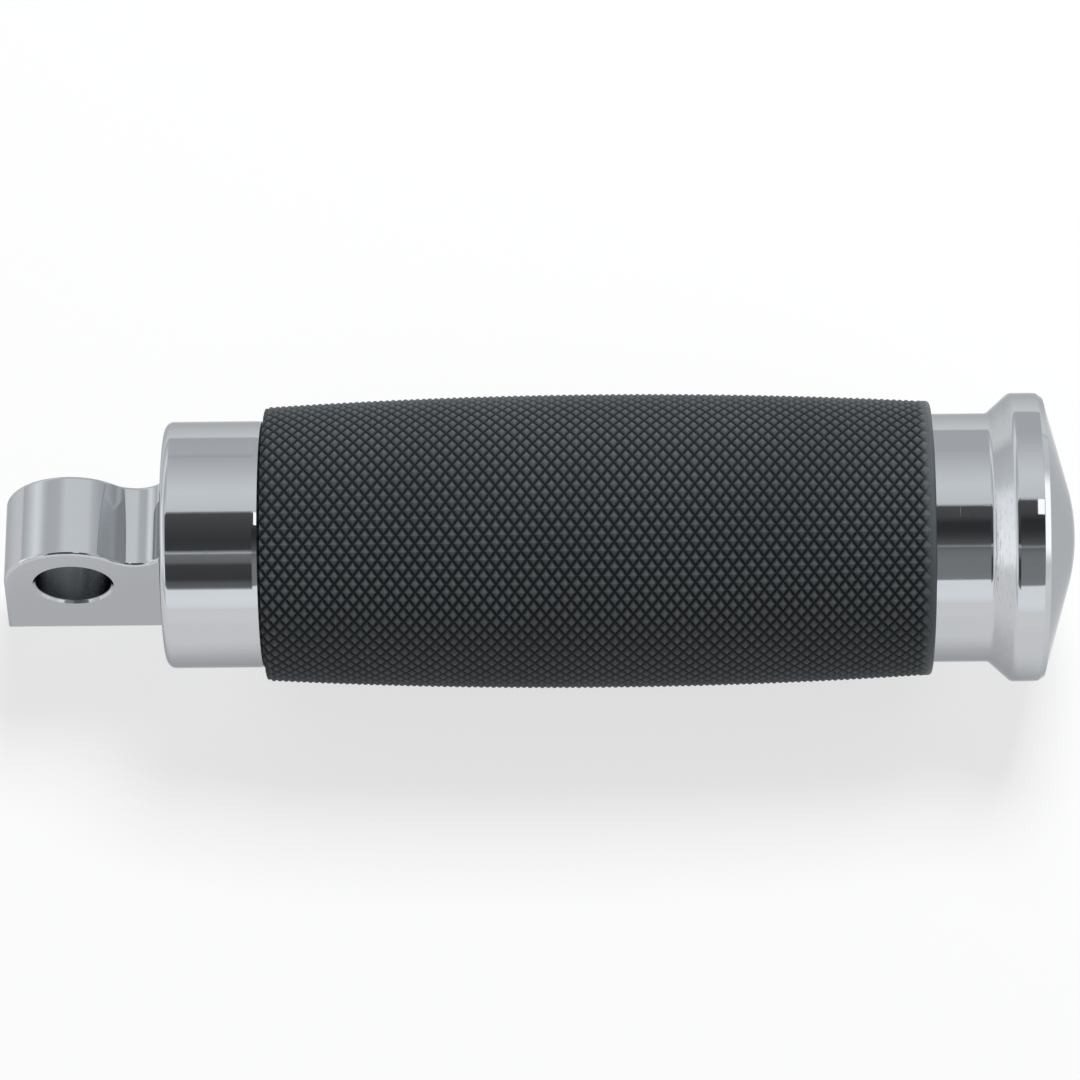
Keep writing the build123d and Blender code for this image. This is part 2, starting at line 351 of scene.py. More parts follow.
def finish_mesh(mesh, sharp=SHARP):
    """Faces outward, smooth except across edges that turn by more than sharp."""
    with reworked(mesh) as work:
        bmesh.ops.recalc_face_normals(work, faces=work.faces)
    mesh.shade_smooth()
    mesh.set_sharp_from_angle(angle=sharp)


def finished_object(mesh, sharp=SHARP):
    """An object of the mesh's own name, shaded and in the scene."""
    finish_mesh(mesh, sharp)
    thing = bpy.data.objects.new(mesh.name, mesh)
    scene.collection.objects.link(thing)
    return thing


def new_mesh(name, points, faces):
    mesh = bpy.data.meshes.new(name)
    mesh.from_pydata(points, [], faces)
    return mesh


# %% Sweep a section round, cut one piece with another, and give a piece its material
def lathe(name, section, segments=256):
    """Sweeps a section of (x, radius) points in millimetres round the X axis."""
    rings, points, faces = [], [], []
    for x, radius in section:
        if radius < 1e-6:
            rings.append([len(points)] * segments)
            points.append((x * MM, 0, 0))
        else:
            rings.append(range(len(points), len(points) + segments))
            for i in range(segments):
                turn = 2 * pi * i / segments
                points.append((x * MM, radius * MM * cos(turn), radius * MM * sin(turn)))
    for low, high in zip(rings, rings[1:]):
        for i in range(segments):
            j = (i + 1) % segments
            # On the axis, two of the four corners are the same point, and one of them goes.
            faces.append(list(dict.fromkeys([low[i], low[j], high[j], high[i]])))
    return finished_object(new_mesh(name, points, faces))


def cut(piece, tool, operation="DIFFERENCE"):
    """Cuts a tool out of a piece, or joins it on, and throws the tool away."""
    modifier = piece.modifiers.new("cut", "BOOLEAN")
    modifier.object = tool
    modifier.operation = operation
    modifier.solver = "EXACT"
    graph = bpy.context.evaluated_depsgraph_get()
    result = bpy.data.meshes.new_from_object(piece.evaluated_get(graph))
    piece.modifiers.clear()
    piece.data = result
    bpy.data.objects.remove(tool)


def set_material(thing, material):
    thing.data.materials.clear()
    thing.data.materials.append(material)


# %% [markdown]
# ## The male mount
# Tongue, inner collar and spigot are one chromed billet. The tongue's side view is a round eye, a hollow saddle
# and a flat stop face. It is drawn once as an outline and stacked across its width, with the outline drawn in a
# little at each cheek, which makes the rounded edge. Then it is joined to the turned collar and drilled. The
# root, where it meets the collar, is rounded last, so that no cut runs through the small faces of the rounding.

# %% Sizes of the mount, in millimetres
COLLAR_X, COLLAR_R, COLLAR_END = 12.0, 15.95, 24.9
FACE_ROUND, BACK_CHAMFER, TURNED_ROUND = 1.1, 0.4, 0.12
BACK_ROLL, BACK_ROLL_SLOPE = 0.8, 10.0
SPIGOT_R, SPIGOT_CHAMFER = 9.95, 0.8
MOUNT_SPIGOT_END = 38.9
GROOVE_HALF, GROOVE_R, SEAL_FROM_MOUTH = 1.2, 8.15, 3.6
STUD_HOLE_R, STUD_HOLE_START = 5.05, 17.9
EYE_X, EYE_R = -0.25, 8.7
SADDLE_R, SADDLE_BITE, SADDLE_STRAIGHT = 4.05, 0.35, 9.5
STOP_Z, END_LEAN = -12.1, 2.1
TONGUE_HALF, TONGUE_ROUND, TONGUE_IN_COLLAR = 5.7, 0.45, 14.0
BORE_R, BORE_CHAMFER = 4.9, 0.35
PIN_HOLE_R, DOWEL_HOLE_R, DOWEL_R = 1.3, 1.05, 1.0
ROOT_ROUND, ROOT_STEPS = 0.5, 6


# %% Tongue: the outline of its side view
def tongue_outline():
    """(x, z) points, from the foot of the free end along the stop face, the saddle and the eye.

    The saddle's arc is straight for its last few degrees, which gives the rounding of the root a flat start.
    """
    saddle_x = COLLAR_X + SADDLE_BITE - SADDLE_R
    saddle_z = sqrt((EYE_R + SADDLE_R) ** 2 - (saddle_x - EYE_X) ** 2)
    end_z = saddle_z - sqrt(SADDLE_R**2 - (SADDLE_R - SADDLE_BITE) ** 2)
    at_collar = degrees(atan2(end_z - saddle_z, COLLAR_X - saddle_x))
    to_eye = degrees(atan2(-saddle_z, EYE_X - saddle_x))
    top_of_end = (EYE_X - EYE_R * cos(radians(END_LEAN)), EYE_R * sin(radians(END_LEAN)))
    foot_x = top_of_end[0] - (top_of_end[1] - STOP_Z) * tan(radians(END_LEAN))
    outline = [(foot_x, STOP_Z), (TONGUE_IN_COLLAR, STOP_Z), (TONGUE_IN_COLLAR, end_z), (COLLAR_X, end_z)]
    outline += arc((saddle_x, saddle_z), SADDLE_R, at_collar - SADDLE_STRAIGHT, to_eye, step=2.0)
    outline += arc((EYE_X, 0), EYE_R, to_eye + 180, 180 - END_LEAN, step=1.5)[1:]
    below_eye = 0.05
    share = below_eye / (top_of_end[1] - STOP_Z)
    outline.append((top_of_end[0] + (foot_x - top_of_end[0]) * share, top_of_end[1] - below_eye))
    return outline


def drawn_in(outline, distance):
    """The outline moved inward by a distance, with its corners kept sharp."""
    points = np.array(outline)
    ahead = np.roll(points, -1, 0) - points
    ahead /= np.linalg.norm(ahead, axis=1)[:, None]
    inward = np.stack([-ahead[:, 1], ahead[:, 0]], 1)
    before = np.roll(inward, 1, 0)
    mitre = (inward + before) / (1 + (inward * before).sum(1))[:, None]
    return points + mitre * distance


# %% Tongue: stack the outline across its width
def make_tongue():
    """Each level is how far the outline is drawn in, and where it lies across the width."""
    side = TONGUE_HALF - TONGUE_ROUND
    levels = [(TONGUE_ROUND + BESIDE, TONGUE_HALF)]
    levels += [(inset, y) for y, inset in arc((side, TONGUE_ROUND), TONGUE_ROUND, 0, -90, step=12)]
    levels.append((0.0, side - BESIDE))
    levels += [(inset, -y) for inset, y in reversed(levels)]
    outline = tongue_outline()
    points, faces, count = [], [], len(outline)
    for inset, y in levels:
        points += [(x * MM, y * MM, z * MM) for x, z in drawn_in(outline, inset)]
    for level in range(len(levels) - 1):
        a, b = level * count, (level + 1) * count
        for i in range(count):
            j = (i + 1) % count
            faces.append([a + i, a + j, b + j, b + i])
    faces.append(list(range(count)))
    faces.append(list(range(len(points) - count, len(points))))
    return finished_object(new_mesh("tongue", points, faces))


tongue = make_tongue()
print("tongue points:", len(tongue.data.vertices))


# %% Collar and spigot, turned with the stud's hole in one section
def rolled_edge(end_x, radius, length, slope):
    """Points where polishing has rolled a turned edge off: level at first, and this slope in degrees at end_x."""
    roll_r = length / sin(radians(slope))
    return arc((end_x - length, radius - roll_r), roll_r, 90, 90 - slope, step=0.4)


def mount_section():
    rim = arc((COLLAR_X + FACE_ROUND, COLLAR_R - FACE_ROUND), FACE_ROUND, 180, 90, step=6)
    seal_x = MOUNT_SPIGOT_END - SEAL_FROM_MOUTH
    section = [
        (COLLAR_X, 0),
        *rim,
        *rolled_edge(COLLAR_END - BACK_CHAMFER, COLLAR_R, BACK_ROLL, BACK_ROLL_SLOPE),
        (COLLAR_END, COLLAR_R - BACK_CHAMFER),
        (COLLAR_END, SPIGOT_R),
        (seal_x - GROOVE_HALF, SPIGOT_R),
        (seal_x - GROOVE_HALF, GROOVE_R),
        (seal_x + GROOVE_HALF, GROOVE_R),
        (seal_x + GROOVE_HALF, SPIGOT_R),
        (MOUNT_SPIGOT_END - SPIGOT_CHAMFER, SPIGOT_R),
        (MOUNT_SPIGOT_END, SPIGOT_R - SPIGOT_CHAMFER),
        (MOUNT_SPIGOT_END, STUD_HOLE_R),
        (STUD_HOLE_START, STUD_HOLE_R),
        (STUD_HOLE_START, 0),
    ]
    return beside_corners(section)


mount = lathe("male_mount_chromed", mount_section())
cut(mount, tongue, "UNION")
print("mount after joining:", len(mount.data.vertices), "points")


# %% Drill it: clevis pin bore, lock pin hole and dowel holes
def drill(radius, start, end, chamfer=0.0, segments=128):
    """A cutter along X that runs past start and end, and flares there if the hole's mouths have a chamfer."""
    past = 1.0
    mouth_r = radius + chamfer + past if chamfer else radius
    section = [(start - past, 0), (start - past, mouth_r)]
    if chamfer:
        section += [(start + chamfer, radius), (end - chamfer, radius)]
    section += [(end + past, mouth_r), (end + past, 0)]
    return lathe("drill", section, segments)


def aim(tool, matrix):
    tool.data.transform(matrix)
    return tool


along_y = Matrix.Rotation(pi / 2, 4, "Z")
along_z = Matrix.Rotation(-pi / 2, 4, "Y")
cut(mount, aim(drill(BORE_R, -TONGUE_HALF, TONGUE_HALF, BORE_CHAMFER, segments=192), along_y))
pin_low, pin_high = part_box("stud_lock_pin")
pin_place = Matrix.Translation(((pin_low.x + pin_high.x) / 2, 0, 0))
cut(mount, aim(drill(PIN_HOLE_R, -SPIGOT_R, SPIGOT_R), pin_place @ along_z))
dowel_low, dowel_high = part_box("core_dowels")
dowel_circle = dowel_high.y / MM - DOWEL_R
for side in (-1, 1):
    dowel_place = Matrix.Translation((0, side * dowel_circle * MM, 0))
    cut(mount, aim(drill(DOWEL_HOLE_R, dowel_low.x / MM + 1, COLLAR_END), dowel_place))
print("mount after drilling:", len(mount.data.vertices), "points")


# %% Round the root, where the tongue meets the collar's face
def round_root(work):
    """Rounds the edges where the cheeks meet the collar's face, and returns how many there were."""
    root = []
    for edge in work.edges:
        on_face = all(abs(v.co.x - COLLAR_X * MM) < MICRON for v in edge.verts)
        in_tongue = all(abs(v.co.y) < (TONGUE_HALF + 0.02) * MM for v in edge.verts)
        if on_face and in_tongue and edge.calc_face_angle(0) > radians(30):
            root.append(edge)
    bmesh.ops.bevel(
        work,
        geom=root,
        offset=ROOT_ROUND * MM,
        offset_type="OFFSET",
        segments=ROOT_STEPS,
        profile=0.5,
        affect="EDGES",
    )
    return len(root)


def border_cheeks(work):
    """Gives both cheeks a narrow border of their own, so that the rounding beside them can't bend their shading."""
    work.normal_update()
    cheeks = [face for face in work.faces if abs(face.normal.y) > 0.99999 and face.calc_area() > 10 * MM**2]
    bmesh.ops.inset_region(work, faces=cheeks, thickness=BESIDE * MM, use_even_offset=True, use_boundary=True)


with reworked(mount.data) as work:
    print("root edges rounded:", round_root(work))
    border_cheeks(work)
finish_mesh(mount.data)
mount_chrome = make_chrome("mount_chrome", bore_radius=BORE_R * MM)
set_material(mount, mount_chrome)
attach(mount, "peg")
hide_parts("male_mount")
print("mount finished:", len(mount.data.vertices), "points")

# %% [markdown]
# ## The end cap
# A second chromed billet: a spigot that goes into the tube, a collar, a flare out to a wide flange, and a
# shallow domed end. All of it is turned, the seat for the thread insert and the hole beyond it too. Polishing has
# rolled the flange's outer edge off by a few hundredths of a millimetre. That is too little to see as a shape,
# but it turns the reflections there, so a bright patch shows just beside the edge.

# %% Sizes of the cap, and its section
CAP_SPIGOT_X, CAP_X, CAP_COLLAR_R = 100.7, 110.7, 16.05
FLARE_X, FLANGE_X, FLANGE_R, FLANGE_END = 118.0, 120.9, 18.65, 125.0
FLARE_ROOT, FLARE_CREST, FLANGE_BEVEL = 0.8, 1.1, 0.6
ROLL_OFF, ROLL_OFF_SLOPE = 1.3, 4.0
DOME_SLOPE, DOME_R = 16.0, 24.0
INSERT_R, INSERT_HEAD_R, INSERT_HEAD, INSERT_END = 7.05, 7.85, 0.85, 116.75
RUNOUT_R, RUNOUT_END = 5.3, 122.2


def fillet(before, corner, after, radius, step=6.0):
    """Points of an arc of this radius that rounds a corner between two straight runs."""
    corner = Vector(corner)
    back = (Vector(before) - corner).normalized()
    on = (Vector(after) - corner).normalized()
    half = back.angle(on) / 2
    centre = corner + (back + on).normalized() * (radius / sin(half))
    first = corner + back * (radius / tan(half)) - centre
    last = corner + on * (radius / tan(half)) - centre
    start = degrees(atan2(first.y, first.x))
    sweep = degrees(first.angle_signed(last))
    return arc(tuple(centre), radius, start, start - sweep, step)


def cap_section():
    slope = radians(DOME_SLOPE)
    tip_r = DOME_R * sin(slope)
    tip_start = FLANGE_END + (FLANGE_R - tip_r) * tan(slope)
    foot, crest = (FLARE_X, CAP_COLLAR_R), (FLANGE_X, FLANGE_R)
    edge = (FLANGE_END, FLANGE_R)
    dome_out = (tip_start, tip_r)
    tip = arc((tip_start - DOME_R * cos(slope), 0), DOME_R, DOME_SLOPE, 0, step=1.0)
    bevel_in = Vector(edge) + (Vector(dome_out) - Vector(edge)).normalized() * FLANGE_BEVEL
    rolled = rolled_edge(FLANGE_END - FLANGE_BEVEL, FLANGE_R, ROLL_OFF, ROLL_OFF_SLOPE)
    seal_x = CAP_SPIGOT_X + SEAL_FROM_MOUTH
    section = [
        (RUNOUT_END, 0),
        (RUNOUT_END, RUNOUT_R),
        (INSERT_END, RUNOUT_R),
        (INSERT_END, INSERT_R),
        (CAP_SPIGOT_X + INSERT_HEAD, INSERT_R),
        (CAP_SPIGOT_X + INSERT_HEAD, INSERT_HEAD_R),
        (CAP_SPIGOT_X, INSERT_HEAD_R),
        (CAP_SPIGOT_X, SPIGOT_R - SPIGOT_CHAMFER),
        (CAP_SPIGOT_X + SPIGOT_CHAMFER, SPIGOT_R),
        (seal_x - GROOVE_HALF, SPIGOT_R),
        (seal_x - GROOVE_HALF, GROOVE_R),
        (seal_x + GROOVE_HALF, GROOVE_R),
        (seal_x + GROOVE_HALF, SPIGOT_R),
        (CAP_X, SPIGOT_R),
        *fillet((CAP_X, SPIGOT_R), (CAP_X, CAP_COLLAR_R), foot, TURNED_ROUND, step=15),
        *fillet((CAP_X, CAP_COLLAR_R), foot, crest, FLARE_ROOT),
        *fillet(foot, crest, edge, FLARE_CREST),
        *rolled[:-1],
        *fillet(rolled[-2], rolled[-1], bevel_in, TURNED_ROUND, step=9),
        *fillet(rolled[-1], bevel_in, dome_out, TURNED_ROUND, step=9),
        *tip,
    ]
    return beside_corners(section)


cap = lathe("end_cap_chromed", cap_section(), segments=384)
cap_chrome = make_chrome("cap_chrome", tool_marks=(FLARE_X * MM, FLANGE_X * MM))
set_material(cap, cap_chrome)
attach(cap, "cap")
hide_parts("end_cap")
print("cap points:", len(cap.data.vertices), "tip at", round(max(v.co.x for v in cap.data.vertices) / MM, 2))

# %% [markdown]
# ## The rubber sleeve and its diamond knurl
# The grip is a moulded barrel covered in small diamonds, with V grooves between them that cross at an angle. A
# bump map would leave the outline smooth, so each diamond is real: a small flat tip, a narrow shoulder, and
# straight sides down into the grooves, which makes a blunt pyramid. The diamonds lie in staggered rows, and each
# row is half a diamond further along. They run right over the inner end, and fade into a narrow plain rim at the
# outer end. The knurl is laid out past both ends and trimmed, and then each end is closed down to the bore.

# %% Sizes of the sleeve
sleeve_low, sleeve_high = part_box("rubber_sleeve")
SLEEVE_X, SLEEVE_END = sleeve_low.x / MM, sleeve_high.x / MM
SLEEVE_END_R, SLEEVE_MIDDLE_R, SLEEVE_BORE_R = 17.7, 19.0, 13.05
END_ROUND, OUTER_RIM, BORE_EDGE = 0.45, 0.55, 0.3
ROWS_ALONG, DIAMONDS_ROUND = 54, 55
KNURL_DEPTH, SHALLOWEST, RUN_OUT = 0.42, 0.04, 1.0
DIAMOND_RINGS = [(0.05, 1.0), (0.13, 0.86), (0.50, 0.0)]  # how far out from a diamond's middle, and how high
RIM_SHARES = (1.0, 0.8, 0.6, 0.4, 0.25, 0.12, 0.04, 0.0)  # how much of the rim is still to come at each ring
SHARP_RIDGE = radians(30)


def barrel_radius(x):
    """Radius over the tips of the knurl, at x millimetres, with both ends rounded off."""
    half = (SLEEVE_END - SLEEVE_X) / 2
    rise = SLEEVE_MIDDLE_R - SLEEVE_END_R
    bow = (half**2 + rise**2) / (2 * rise)
    from_middle = np.clip(np.abs(x - SLEEVE_X - half), 0, half)
    into_round = np.clip(END_ROUND - (half - from_middle), 0, END_ROUND)
    drop = END_ROUND - np.sqrt(END_ROUND**2 - into_round**2)
    return SLEEVE_MIDDLE_R - bow + np.sqrt(bow**2 - from_middle**2) - drop


print("sleeve from", round(SLEEVE_X, 2), "to", round(SLEEVE_END, 2), "mm along the peg")


# %% Knurl: every diamond's points, and the faces that join them
def knurl_mesh():
    """Diamonds in staggered rows, past both ends. Where four corners meet there are still four points."""
    pitch = (SLEEVE_END - OUTER_RIM - SLEEVE_X) / ROWS_ALONG
    rows = np.arange(-1, 2 * ROWS_ALONG + 2)
    rings = len(DIAMOND_RINGS)
    row, column, ring, corner = np.meshgrid(
        rows, np.arange(DIAMONDS_ROUND), np.arange(rings), np.arange(4), indexing="ij"
    )
    reach, height = np.array(DIAMOND_RINGS).T
    x = SLEEVE_X + (row / 2 + reach[ring] * np.array([1, 0, -1, 0])[corner]) * pitch
    turn = (column + (row % 2) / 2 + reach[ring] * np.array([0, 1, 0, -1])[corner]) * 2 * pi / DIAMONDS_ROUND
    depth = KNURL_DEPTH * np.clip((SLEEVE_END - OUTER_RIM - x) / RUN_OUT, SHALLOWEST, 1)
    radius = barrel_radius(x) - depth * (1 - height[ring])
    points = np.stack([x, radius * np.cos(turn), radius * np.sin(turn)], -1).reshape(-1, 3) * MM
    faces = []
    for first in range(0, len(points), rings * 4):
        faces.append([first, first + 1, first + 2, first + 3])
        for inner in range(first, first + (rings - 1) * 4, 4):
            for here in range(4):
                ahead = (here + 1) % 4
                faces.append([inner + here, inner + 4 + here, inner + 4 + ahead, inner + ahead])
    return points.tolist(), faces


# %% Trim an end, close it and carry it round to the bore
def trim(work, x, outward, within):
    """Cuts off all beyond x millimetres, on the side that outward points to. Points within this distance stay."""
    everything = work.verts[:] + work.edges[:] + work.faces[:]
    bmesh.ops.bisect_plane(
        work, geom=everything, dist=within, plane_co=(x * MM, 0, 0), plane_no=(outward, 0, 0), clear_outer=True
    )


def end_rings(end_x, rim=0.0):
    """(x, radius) rings from the knurl's edge to the bore: straight down, or over a plain rim first."""
    way = 1 if end_x > SLEEVE_X else -1
    over_rim = [end_x - way * rim * share for share in RIM_SHARES] if rim else []
    rings = [(x, float(barrel_radius(x))) for x in over_rim]
    return [*rings, (end_x, SLEEVE_BORE_R + BORE_EDGE), (end_x - way * BORE_EDGE, SLEEVE_BORE_R)]


def close_end(work, cut_x, rings):
    """Joins the knurl's trimmed edge to the rings, and returns the last ring."""
    previous = [v for v in work.verts if v.is_boundary and abs(v.co.x - cut_x * MM) < MICRON]
    previous.sort(key=lambda v: atan2(v.co.z, v.co.y))
    turns = [atan2(v.co.z, v.co.y) for v in previous]
    for x, radius in rings:
        ring = [work.verts.new((x * MM, radius * MM * cos(t), radius * MM * sin(t))) for t in turns]
        for i in range(len(ring)):
            j = (i + 1) % len(ring)
            work.faces.new([previous[i], previous[j], ring[j], ring[i]])
        previous = ring
    return previous


def ring_edges(ring):
    """The edges that join a closed ring of points."""
    return [e for v, ahead in zip(ring, ring[1:] + ring[:1]) for e in v.link_edges if e.other_vert(v) == ahead]


# %% Sleeve: the knurl, both ends and the bore, with how high in the knurl each point is, for paler tips and painted groove shade
def make_sleeve():
    mesh = new_mesh("rubber_sleeve_knurled", *knurl_mesh())
    with reworked(mesh) as work:
        bmesh.ops.remove_doubles(work, verts=work.verts, dist=2 * MICRON)
        for x, outward in ((SLEEVE_X, -1), (SLEEVE_END - OUTER_RIM, 1)):
            trim(work, x, outward, within=0.2 * MICRON)
        inner = close_end(work, SLEEVE_X, end_rings(SLEEVE_X))
        outer = close_end(work, SLEEVE_END - OUTER_RIM, end_rings(SLEEVE_END, OUTER_RIM))
        bmesh.ops.bridge_loops(work, edges=ring_edges(inner) + ring_edges(outer))
    thing = finished_object(mesh, SHARP_RIDGE)
    points = np.array([v.co for v in mesh.vertices]) / MM
    # Height in the knurl, 1 on the tips and 0 in the grooves: it sets the paler worn tips and the painted shade in the
    # grooves.
    below = barrel_radius(points[:, 0]) - np.hypot(points[:, 1], points[:, 2])
    rubbed = np.clip(1 - below / KNURL_DEPTH, 0, 1)
    mesh.attributes.new("rubbed", "FLOAT", "POINT").data.foreach_set("value", rubbed.astype(np.float32))
    return thing


sleeve = make_sleeve()
set_material(sleeve, sleeve_rubber)
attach(sleeve, "peg")
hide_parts("rubber_sleeve")
print("sleeve triangles:", sum(len(p.vertices) - 2 for p in sleeve.data.polygons))

# %% [markdown]
# ## The threaded stud
# The cap runs out along a stud, which shows in the gap as it is unscrewed. A thread is a groove that climbs by
# one pitch each turn, so its points are laid along the helix and the crests follow it exactly. The ends are then
# trimmed square and chamfered, and the middle of the stud stays plain.

# %% Stud with a thread at both ends
STUD_R, THREAD_PITCH, THREAD_DEPTH, STUD_CHAMFER = 5.0, 1.5, 0.85, 1.0
STUD_X, STUD_END = 18.9, 121.2
MOUNT_THREAD_END, CAP_THREAD_X = 38.5, 98.0
THREAD_PHASES = (0.0, 0.03, 0.39, 0.5, 0.61, 0.97)
GROOVE_FLOOR, GROOVE_EDGE = 0.22, 0.94
TURN_STEPS = 64


def thread_radius(x, phase):
    """Radius of the thread where phase, from 0 to 1, is how far across a pitch it is. The groove is at 0.5."""
    across = abs(phase - 0.5) * 2
    depth = THREAD_DEPTH * min(1.0, max(0.0, (GROOVE_EDGE - across) / (GROOVE_EDGE - GROOVE_FLOOR)))
    from_end = min(x - STUD_X, STUD_END - x)
    runout = min(1.0, max(0.0, max(MOUNT_THREAD_END - x, x - CAP_THREAD_X) / THREAD_PITCH))
    return min(STUD_R - depth * runout, STUD_R - STUD_CHAMFER + max(from_end, 0.0))


def thread_points(turns):
    """Points along the helix, from two turns before the stud's start."""
    points = []
    for turn_index in range(turns):
        for phase in THREAD_PHASES:
            for step in range(TURN_STEPS):
                share = step / TURN_STEPS
                x = STUD_X + (turn_index - 2 + phase + share) * THREAD_PITCH
                radius = thread_radius(x, phase)
                angle = 2 * pi * share
                points.append((x * MM, radius * MM * cos(angle), radius * MM * sin(angle)))
    return points


def thread_faces(turns):
    """Faces between the rows of points. The last step of each turn joins the first one a whole pitch further on."""
    rows, faces = turns * len(THREAD_PHASES), []
    for row in range(rows - 1):
        low = row * TURN_STEPS
        for step in range(TURN_STEPS - 1):
            ahead = step + 1
            faces.append([low + step, low + ahead, low + TURN_STEPS + ahead, low + TURN_STEPS + step])
        if row + len(THREAD_PHASES) + 1 < rows:
            last, climb = low + TURN_STEPS - 1, low + len(THREAD_PHASES) * TURN_STEPS
            faces.append([last, climb, climb + TURN_STEPS, last + TURN_STEPS])
    return faces


def make_stud():
    turns = int((STUD_END - STUD_X) / THREAD_PITCH) + 3
    mesh = new_mesh("centre_stud_threaded", thread_points(turns), thread_faces(turns))
    with reworked(mesh) as work:
        for x, outward in ((STUD_X, -1), (STUD_END, 1)):
            trim(work, x, outward, within=0.1 * MICRON)
        loose = [v for v in work.verts if not v.link_faces]
        bmesh.ops.delete(work, geom=loose, context="VERTS")
        bmesh.ops.holes_fill(work, edges=[e for e in work.edges if e.is_boundary], sides=0)
    return finished_object(mesh)


stud = make_stud()
cut(stud, aim(drill(PIN_HOLE_R, -STUD_R, STUD_R, segments=64), pin_place @ along_z))
finish_mesh(stud.data)
set_material(stud, stud_steel)
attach(stud, "peg")
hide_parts("centre_stud")
print("stud faces:", len(stud.data.polygons))

# %% [markdown]
# ## The other inside parts
# The tube, dowels, lock pin, insert, washer and seal rings have the right shape already, so the model's own
# meshes stay. Each gets its finish.

# %% Finish the model's own parts
finishes = {
    "core_tube": core_steel,
    "core_dowels": core_steel,
    "stud_lock_pin": core_steel,
    "slip_washer": core_steel,
    "thread_insert": stud_steel,
    "inner_seal_ring": seal_rubber,
    "outer_seal_ring": seal_rubber,
}
for node_name, material in finishes.items():
    set_material(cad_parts[node_name], material)
print("finished:", ", ".join(finishes))

# %% [markdown]
# ## Floor, studio and camera
# Chrome needs something to look at. A round studio of pale walls lies about the peg, with one long dark gap
# overhead on the camera's side, and that gap is the sharp dark band along every turned surface. A small bright
# pane and a pale strip in the walls are the glints on the edges. The studio is painted on the world by direction:
# the angle round the peg's axis picks a tone for the walls, and height picks one for the two ends of the room.
#
# A room that bright would wash out the rubber. So the world and the floor ask what kind of ray meets them. The
# camera sees them at full strength, straight on or by way of polished metal, and dull surfaces get only a share
# of it. Two lamps light those, and the floor keeps the soft shadow that they cast.

# %% Floor, just below the rubber: white paint, and partly lit through from below where it is looked at
FLOOR_Z, FLOOR_HALF = cad_low.z - 0.1 * MM, 1.5
FLOOR_WHITE = (0.94, 0.945, 0.95, 1)
FLOOR_LIT = 0.70
LIT_MORE_FROM, LIT_FULLY_FROM = 0.06, 0.14  # metres in front of the peg, so that far floor and walls meet evenly
floor_corners = [(x * FLOOR_HALF, y * FLOOR_HALF, FLOOR_Z) for x, y in ((-1, -1), (1, -1), (1, 1), (-1, 1))]
floor = finished_object(new_mesh("floor", floor_corners, [[0, 1, 2, 3]]))


def looked_at(tree):
    """1 for rays from the camera or by way of metal or glass, and 0 for the light that falls on dull surfaces."""
    camera_ray = Wire(tree).add("ShaderNodeLightPath", output="Is Camera Ray")
    seen = camera_ray + camera_ray.output("Is Glossy Ray") + camera_ray.output("Is Transmission Ray")
    return seen.math("MINIMUM", seen, 1.0)


def make_floor_paint():
    paint, shader, place = new_material("floor_paint", Base_Color=FLOOR_WHITE, Roughness=0.9, Specular_IOR_Level=0.1)
    surface = shader.outputs[0].links[0].to_socket
    painted = Wire(paint.node_tree, shader.outputs[0])
    glow = place.add("ShaderNodeEmission", {}, {"Color": (1.0, 1.0, 1.0, 1), "Strength": 1.0})
    in_front = place.add("ShaderNodeSeparateXYZ", {}, {"Vector": place}, "Y") * -1.0
    lit = FLOOR_LIT + in_front.smooth(LIT_MORE_FROM, LIT_FULLY_FROM) * (1 - FLOOR_LIT)
    both = place.add("ShaderNodeMixShader", {}, {0: looked_at(paint.node_tree) * lit, 1: painted, 2: glow})
    paint.node_tree.links.new(both.socket, surface)
    return paint


set_material(floor, make_floor_paint())
print("floor at", round(FLOOR_Z / MM, 2), "mm")


# %% Studio walls: brightness by the angle round the peg's axis, from level in front, over the top, to behind
WALLS_FRONT = [(-180, 0.68), (-20, 0.95), (-1, 0.98), (3, 1.12), (8, 1.17)]
WALLS_BACK = [(104, 0.97), (113, 0.99), (125, 0.90), (139, 0.77), (150, 0.68)]
WALLS_INNER = [
    *WALLS_FRONT, (20.3, 1.14), (21.3, 0.20), (27, 0.14), (30, 0.066), (44, 0.080), (46.5, 0.21), (53.6, 0.26),
    (54.2, 0.66), (55.8, 0.66), (56.6, 0.074), (66, 0.062), (78, 0.083), (92.5, 0.115), (93.7, 0.90),
    *WALLS_BACK, (153.5, 0.60), (157, 0.69), (180, 0.68),
]
WALLS_OUTER = [
    *WALLS_FRONT, (22.5, 1.14), (23.7, 0.33), (30, 0.30), (44, 0.29), (50, 0.26), (53.5, 0.20), (54.2, 0.40),
    (55.6, 0.40), (56.4, 0.13), (59, 0.12), (62, 0.085), (68, 0.050), (76, 0.045), (82, 0.095), (92, 0.115),
    (93.2, 0.90), *WALLS_BACK, (157, 0.66), (180, 0.68),
]
print("tones round the walls:", len(WALLS_INNER), "and", len(WALLS_OUTER))


# %% Studio ends: brightness by height, from the floor's level to straight up
END_INNER = [
    (0.0, 0.69), (0.15, 0.80), (0.30, 1.00), (0.42, 1.17), (0.52, 1.05), (0.60, 0.82), (0.68, 0.69), (0.86, 0.73),
    (1.0, 0.75),
]
END_OUTER = [(0.0, 0.95), (0.34, 0.85), (0.44, 0.55), (0.60, 0.66), (0.70, 0.76), (1.0, 0.80)]
BRIGHTEST, DULL_LIGHT = 1.8, 0.3


def round_walls(angle):
    """Where an angle in degrees lies on the walls' ramp, from 0 to 1."""
    return (angle + 180) / 360


def tones(position, stops, cool=0.03):
    """A slightly blue grey that follows the stops. They are stored as shares of the brightest tone."""
    stops = [(place, grey(tone / BRIGHTEST, cool)) for place, tone in stops]
    return position.add("ShaderNodeValToRGB", {"stops": stops}, {"Fac": position})


